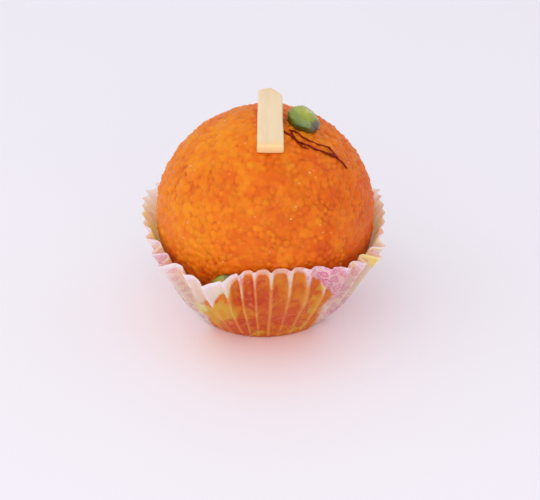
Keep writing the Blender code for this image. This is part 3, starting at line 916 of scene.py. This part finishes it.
def polar_of(g, x, y, turn):
    """The distance from a cell's middle, and the angle there from its own first petal."""
    away = g.math("SQRT", g.plus(g.times(x, x), g.times(y, y)))
    return away, g.plus(g.math("ARCTAN2", y, x), g.times(turn, FULL_TURN))


def grows(g, chance, luck, dense, least):
    """1 in the cells that have a print: all of them where prints are dense, some where they are sparse."""
    return g.math("GREATER_THAN", g.math("MULTIPLY_ADD", chance, luck, dense), least)


def blossoms(g, sheet, dense):
    """Masks of five-petalled ring blossoms where they are dense: their rings, and their deeper hearts."""
    x, y, chance, size, turn = cell_of(g, sheet, BLOSSOM_CELL, 0.0)
    here = grows(g, chance, 0.5, dense, 0.46)
    away, angle = polar_of(g, x, y, turn)
    petal = g.times(g.math("COSINE", g.times(angle, 5.0)), 0.1)
    outline = g.times(g.plus(1.0, petal), g.math("MULTIPLY_ADD", size, 0.35, 0.75))
    share = g.math("DIVIDE", away, g.times(outline, BLOSSOM_RADIUS))
    ring = g.math("ABSOLUTE", g.minus(share, 0.72))
    ring = g.times(g.steps(ring, 0.1, 0.38, 1.0, 0.0), here)
    heart = g.times(g.steps(share, 0.15, 0.3, 1.0, 0.0), here)
    return ring, g.times(heart, 0.7)


def flowers(g, sheet, dense):
    """Masks of large soft flowers where they are dense: five broad petals, and the pale veins in them."""
    x, y, chance, size, turn = cell_of(g, sheet, FLOWER_CELL, 57.0)
    away, angle = polar_of(g, x, y, turn)
    petal = g.math("ABSOLUTE", g.math("COSINE", g.times(angle, 2.5)))
    outline = g.times(g.math("MULTIPLY_ADD", petal, 0.45, 0.6), g.math("MULTIPLY_ADD", size, 0.4, 0.7))
    share = g.math("DIVIDE", away, g.times(outline, FLOWER_RADIUS))
    body = g.times(g.steps(share, 0.8, 1.05, 1.0, 0.0), grows(g, chance, 0.4, dense, 0.42))
    streaks = g.noise(sheet, 0.65, 4.0, 0.55)
    vein = g.times(body, g.steps(streaks, 0.5, 0.6))
    return g.times(body, g.steps(streaks, 0.38, 0.5, 0.5, 1.0)), vein


def leaves(g, sheet, dense):
    """Mask of slim leaves where they are dense."""
    x, y, chance, _, turn = cell_of(g, sheet, LEAF_CELL, 31.0)
    angle = g.times(turn, FULL_TURN)
    cos, sin = g.math("COSINE", angle), g.math("SINE", angle)
    along = g.plus(g.times(x, cos), g.times(y, sin))
    across = g.minus(g.times(y, cos), g.times(x, sin))
    bent = g.plus(across, g.times(g.times(along, along), LEAF_BEND))
    far = g.math("POWER", g.math("DIVIDE", along, LEAF_SIZE[0]), 2.0)
    wide = g.math("POWER", g.math("DIVIDE", bent, LEAF_SIZE[1]), 2.0)
    inside = g.steps(g.plus(far, wide), 0.55, 1.15, 1.0, 0.0)
    return g.times(inside, grows(g, chance, 0.4, dense, 0.46))


def smooth_route(points, steps):
    """A Catmull-Rom curve through the points."""
    ends = [2 * points[0] - points[1], *points, 2 * points[-1] - points[-2]]
    route = []
    for a, b, c, d in zip(ends, ends[1:], ends[2:], ends[3:]):
        for step in range(steps):
            t = step / steps
            curved = t * t * (2 * a - 5 * b + 4 * c - d) + t**3 * (3 * b - a - 3 * c + d)
            route.append(0.5 * (2 * b + t * (c - a) + curved))
    return np.array(route + [points[-1]])


def thread_form(name, route, share, phase):
    """A thread's middle line, the direction across it on the ladoo, and its half width, at each step."""
    tangent = np.gradient(route, axis=0)
    tangent /= np.linalg.norm(tangent, axis=1)[:, None]
    sideways = np.cross(route, tangent)
    rise, rises = SAFFRON_RISES
    lift = SAFFRON_LIFT + rise * np.sin(rises * share + phase[0]) * (name != "fork")
    (bend, bends), (kink, kinks) = SAFFRON_BENDS
    wave = bend * np.sin(bends * share + phase[1]) + kink * np.sin(kinks * share + phase[2])
    line = LADOO_CENTRE + route * (LADOO_RADIUS + lift)[:, None] + sideways * wave[:, None]
    width = SAFFRON_HALF * SAFFRON_THIN[name] * (1 - SAFFRON_TAPER * share)
    width *= 1 + SAFFRON_UNEVEN[0] * np.sin(SAFFRON_UNEVEN[1] * share + phase[1])
    knot, thicker, length = SAFFRON_KNOT
    width *= 1 + thicker * np.exp(-(((share - knot) / length) ** 2))
    width[0] *= SAFFRON_ENDS[0]
    width[-1] *= SAFFRON_ENDS[1]
    return line, sideways, width


def add_saffron(material):
    """The three threads as thin ribbed stigmas, thinner at the lower end, lying on the grains."""
    rng = np.random.default_rng(SAFFRON_SEED)
    points, faces = [], []
    for name, places in SAFFRON_THREADS.items():
        route = smooth_route([on_sphere(polar, azimuth) for polar, azimuth in places], SAFFRON_STEPS)
        share = np.linspace(0, 1, len(route))
        line, sideways, width = thread_form(name, route, share, rng.uniform(0, SAFFRON_PHASES, 3))
        start = len(points)
        for i in range(len(route)):
            for k in range(SAFFRON_SIDES):
                turn = FULL_TURN * k / SAFFRON_SIDES
                rib = 1 + SAFFRON_RIBS * math.cos(3 * turn + 5 * share[i])
                offset = sideways[i] * math.cos(turn) + SAFFRON_FLAT * route[i] * math.sin(turn)
                points.append(line[i] + offset * width[i] * rib)
        for i in range(len(route) - 1):
            for k in range(SAFFRON_SIDES):
                a, b = start + i * SAFFRON_SIDES + k, start + i * SAFFRON_SIDES + (k + 1) % SAFFRON_SIDES
                faces.append([a, b, b + SAFFRON_SIDES, a + SAFFRON_SIDES])
        faces.append([start + k for k in reversed(range(SAFFRON_SIDES))])
        faces.append([len(points) - SAFFRON_SIDES + k for k in range(SAFFRON_SIDES)])
    return mesh_piece("saffron_threads", points, faces, material, "ladoo", {})


def saffron_material():
    g = Graph("saffron")
    streaks = g.noise(g.place(), 2400.0)
    colour = g.mix(g.steps(streaks, 0.35, 0.65), *SAFFRON_COLOURS)
    relief = g.bump(streaks, 0.04 * MM, 0.5)
    g.set(Base_Color=colour, Roughness=g.steps(streaks, 0.3, 0.7, 0.35, 0.6), Normal=relief)
    g.set(Specular_IOR_Level=0.12)
    return g.material


def placed(points, matrix):
    """The points moved by a 4 x 4 matrix."""
    matrix = np.array(matrix)
    return points @ matrix[:3, :3].T + matrix[:3, 3]


def rings_of(rows, columns):
    """Faces of a closed tube of rows rings, with a point at each end."""
    faces = []
    last = rows * columns + 1
    for k in range(columns):
        following = (k + 1) % columns
        faces.append([0, 1 + following, 1 + k])
        for row in range(rows - 1):
            a, b = 1 + row * columns + k, 1 + row * columns + following
            faces.append([a, b, b + columns, a + columns])
        faces.append([last, last - columns + k, last - columns + following])
    return faces


def squared(value):
    """A circle's sine or cosine, bent towards a square's."""
    return np.sign(value) * np.abs(value) ** ALMOND_SQUARE


def add_almond(material):
    """The blanched almond baton: crisp cut sides, a blunt upper end chipped more on the right."""
    width, length, thickness = ALMOND_SIZE
    ends = np.array(ALMOND_ENDS)
    stations = np.concatenate([ends[:, 0] - 1, np.linspace(-1, 1, ALMOND_ROWS)[1:-1], 1 - ends[::-1, 0]])
    inset = np.concatenate([ends[:, 1], np.ones(ALMOND_ROWS - 2), ends[::-1, 1]])
    turns = np.linspace(0, FULL_TURN, ALMOND_COLUMNS, endpoint=False)
    at, widths, thicknesses = zip(*ALMOND_STATIONS)
    points = []
    for along, share in zip(stations, inset):
        wide = np.interp(along, at, widths) * width / 2
        thick = np.interp(along, at, thicknesses) * thickness / 2
        x = squared(np.cos(turns)) * (wide - (1 - share) * thickness / 2)
        z = squared(np.sin(turns)) * thick * share
        side = 2 * x / width
        chip = ALMOND_CHIP * np.where(side > 0, side, -ALMOND_CHIP_LEFT * side)
        y = along * length / 2 - chip * np.interp(along, ALMOND_CHIPPED, (0, 1))
        points.append(np.stack([x, y, z], -1))
    points = np.concatenate([points[0].mean(0)[None], *points, points[-1].mean(0)[None]])
    stray, size = ALMOND_UNEVEN
    points += stray * np.stack([lumps(points, size, shift) for shift in (1.0, 7.0, 13.0)], -1)
    polar = math.radians(ALMOND_POLAR)
    height = LADOO_RADIUS - ALMOND_SUNK + thickness / 2
    middle = LADOO_CENTRE + (ALMOND_SIDEWAYS, -math.sin(polar) * height, math.cos(polar) * height)
    place = Matrix.Translation(middle) @ Matrix.Rotation(math.radians(ALMOND_TILT), 4, "X")
    faces = [face[::-1] for face in rings_of(len(stations), ALMOND_COLUMNS)]
    attributes = {"along": points[:, 1] / length * 2}
    points = placed(points, place)
    return mesh_piece("almond", points, faces, material, "almond_sliver", attributes)


def almond_material():
    g = Graph("almond")
    place = g.place()
    along = g.attribute("along")
    grain = g.streaks(place, (2200.0, 260.0, 900.0), 4.0, 0.6)
    cloud = g.streaks(place, (420.0, 110.0, 110.0))
    colour = g.mix(g.steps(cloud, 0.35, 0.65), *ALMOND_FLESH)
    colour = g.mix(g.steps(grain, 0.55, 0.75, 0.0, 0.3), colour, ALMOND_GRAIN)
    # Painted shade and reflection: strongest at the lower end that sits on the ladoo, weaker at the upper
    # end
    end = g.math("MAXIMUM", g.steps(along, -1.0, -0.7, 0.75, 0.0), g.steps(along, 0.8, 0.98, 0.0, 0.35))
    colour = g.mix(end, colour, ALMOND_END_SHADE_AND_REFLECTION)
    relief = g.bump(grain, 0.04 * MM, 0.4)
    g.set(Base_Color=colour, Roughness=g.steps(grain, 0.3, 0.7, 0.36, 0.52), Normal=relief)
    g.set(Subsurface_Weight=0.4, Subsurface_Radius=(1.0, 0.75, 0.45), Subsurface_Scale=1.0 * MM)
    g.set(Specular_IOR_Level=0.5)
    return g.material


def add_kernel(name, node, size, sunk, place, painted_light_lift, material):
    """A pistachio kernel: an egg with one furrow along it, and wrinkles."""
    length, width, height = size / 2
    polar = np.linspace(0, math.pi, KERNEL_ROWS + 2)[1:-1]
    turns = np.linspace(0, FULL_TURN, KERNEL_COLUMNS, endpoint=False)
    polar, turns = np.meshgrid(polar, turns, indexing="ij")
    x = -np.cos(polar)
    across = np.sin(polar) ** KERNEL_FULLNESS * (1 - KERNEL_TAPER * x)
    furrow = 1 - KERNEL_FURROW * np.sin(polar) * np.exp(-(((turns - KERNEL_SEAM[0]) / KERNEL_SEAM[1]) ** 2))
    points = np.stack([x, across * np.cos(turns) * furrow, across * np.sin(turns) * furrow], -1)
    points = np.concatenate([[(-1, 0, 0)], points.reshape(-1, 3), [(1, 0, 0)]])
    wrinkles = KERNEL_WRINKLE * lumps(points * KERNEL_WRINKLES, KERNEL_WRINKLE_SIZE, sunk / MM)
    points = points * (1 + wrinkles[:, None]) * (length, width, height) * KERNEL_SHRINK
    polar_angle, azimuth, turn = (math.radians(angle) for angle in place)
    seat = (
        Matrix.Translation(LADOO_CENTRE)
        @ Matrix.Rotation(azimuth, 4, "Z")
        @ Matrix.Rotation(polar_angle, 4, "Y")
        @ Matrix.Translation((0, 0, LADOO_RADIUS - sunk + size[2] / 2 * KERNEL_SHRINK))
        @ Matrix.Rotation(turn, 4, "Z")
    )
    # Height on the kernel, which drives its painted shade and light; painted_light_lift raises it so the
    # kernel looks more lit
    attributes = {"along": points[:, 0] / length, "above": points[:, 2] / height + painted_light_lift}
    faces = rings_of(KERNEL_ROWS, KERNEL_COLUMNS)
    return mesh_piece(name, placed(points, seat), faces, material, node, attributes)


def pistachio_material():
    g = Graph("pistachio")
    place, along = g.place(), g.attribute("along")
    cloud = g.noise(place, 420.0)
    veins = g.streaks(place, (900.0, 2000.0, 2000.0), 4.0, 0.6)
    # Painted shade low on the sides, painted light on the top, and a painted highlight in the middle of the
    # top
    above = g.strayed(g.attribute("above"), cloud, 0.7)
    middle = g.minus(above, g.times(g.math("ABSOLUTE", along), 0.45))
    colour = g.mix(g.steps(above, -0.1, 0.4), *KERNEL_SHADED_SIDES)
    colour = g.mix(g.steps(above, 0.45, 0.8), colour, KERNEL_LIT_TOP)
    colour = g.mix(g.steps(middle, 0.72, 1.0, 0.0, 0.8), colour, KERNEL_HIGHLIGHT_AND_VEINS)
    colour = g.mix(g.steps(veins, 0.55, 0.8, 0.0, 0.3), colour, KERNEL_HIGHLIGHT_AND_VEINS)
    skin = g.steps(g.strayed(along, cloud, 1.6), 0.55, 0.95, 0.0, 0.75)
    colour = g.mix(skin, colour, SKIN_COLOUR)
    relief = g.bump(veins, 0.1 * MM, 0.7)
    g.set(Base_Color=colour, Roughness=g.steps(veins, 0.3, 0.7, 0.2, 0.4), Normal=relief)
    g.set(Subsurface_Weight=0.2, Subsurface_Radius=(0.6, 1.0, 0.25), Subsurface_Scale=0.8 * MM)
    g.set(Coat_Weight=0.75, Coat_Roughness=0.03, Specular_IOR_Level=0.4)
    return g.material


def add_camera():
    """The photograph's camera, aimed so that the ladoo's middle shows at LADOO_PIXEL."""
    elevation = math.radians(CAMERA_ELEVATION)
    forward = Vector((0, math.cos(elevation), -math.sin(elevation)))
    right = Vector((1, 0, 0))
    aside = LADOO_PIXEL[0] - FRAME_SIZE[0] / 2
    below = LADOO_PIXEL[1] - FRAME_SIZE[1] / 2
    aim = forward * FOCAL_PIXELS - right * aside + right.cross(forward) * below
    camera = bpy.data.objects.new("camera", bpy.data.cameras.new("camera"))
    camera.location = Vector(LADOO_CENTRE) - forward * CAMERA_DISTANCE
    camera.rotation_euler = aim.to_track_quat("-Z", "Y").to_euler()
    camera.data.sensor_width = SENSOR
    camera.data.lens = FOCAL_PIXELS * SENSOR / FRAME_SIZE[0]
    camera.data.clip_start = 0.01
    bpy.context.scene.collection.objects.link(camera)
    bpy.context.scene.camera = camera


def add_light(name, place, size, power, colour):
    """A square area light aimed at the ladoo's middle."""
    light = bpy.data.lights.new(name, "AREA")
    light.energy = power
    light.size = size
    light.color = colour
    made = bpy.data.objects.new(name, light)
    made.location = place
    made.rotation_euler = (Vector(LADOO_CENTRE) - Vector(place)).to_track_quat("-Z", "Y").to_euler()
    bpy.context.scene.collection.objects.link(made)


def add_stage():
    """The pale floor and the soft light."""
    bm = bmesh.new()
    bmesh.ops.create_circle(bm, cap_ends=True, segments=64, radius=FLOOR_RADIUS)
    mesh = bpy.data.meshes.new("floor")
    bm.to_mesh(mesh)
    bm.free()
    floor = bpy.data.objects.new("floor", mesh)
    floor.location.z = -FLOOR_BELOW
    g = Graph("floor")
    clouds = g.noise(g.place(), FLOOR_CLOUDS, 2.0)
    g.set(Base_Color=g.mix(clouds, *FLOOR_COLOURS), Roughness=0.6)
    g.set(Specular_IOR_Level=0.2)
    mesh.materials.append(g.material)
    bpy.context.scene.collection.objects.link(floor)
    world = bpy.data.worlds.new("studio")
    world.use_nodes = True
    background = world.node_tree.nodes["Background"]
    background.inputs["Color"].default_value = (*WORLD_COLOUR, 1.0)
    background.inputs["Strength"].default_value = WORLD_STRENGTH
    bpy.context.scene.world = world
    bpy.context.scene.view_settings.view_transform = "Standard"
    for name, light in LIGHTS.items():
        add_light(name, *light)


def main():
    add_camera()
    add_stage()
    orange = motichoor_material()
    kinds = scatter_all()
    add_core(kinds, orange)
    for name, grains in kinds.items():
        add_grains(name, grains, orange)
    add_saffron(saffron_material())
    add_almond(almond_material())
    green = pistachio_material()
    add_kernel("pistachio", "pistachio_top", PISTACHIO_SIZE, PISTACHIO_SUNK, PISTACHIO_PLACE, 0.0, green)
    # The low kernel gets more painted light, which lightens it in its shade
    add_kernel("pistachio_low", "pistachio_side", SIDE_NUT_SIZE, SIDE_NUT_SUNK, SIDE_NUT_PLACE, 0.4, green)
    add_paper(paper_material())


main()
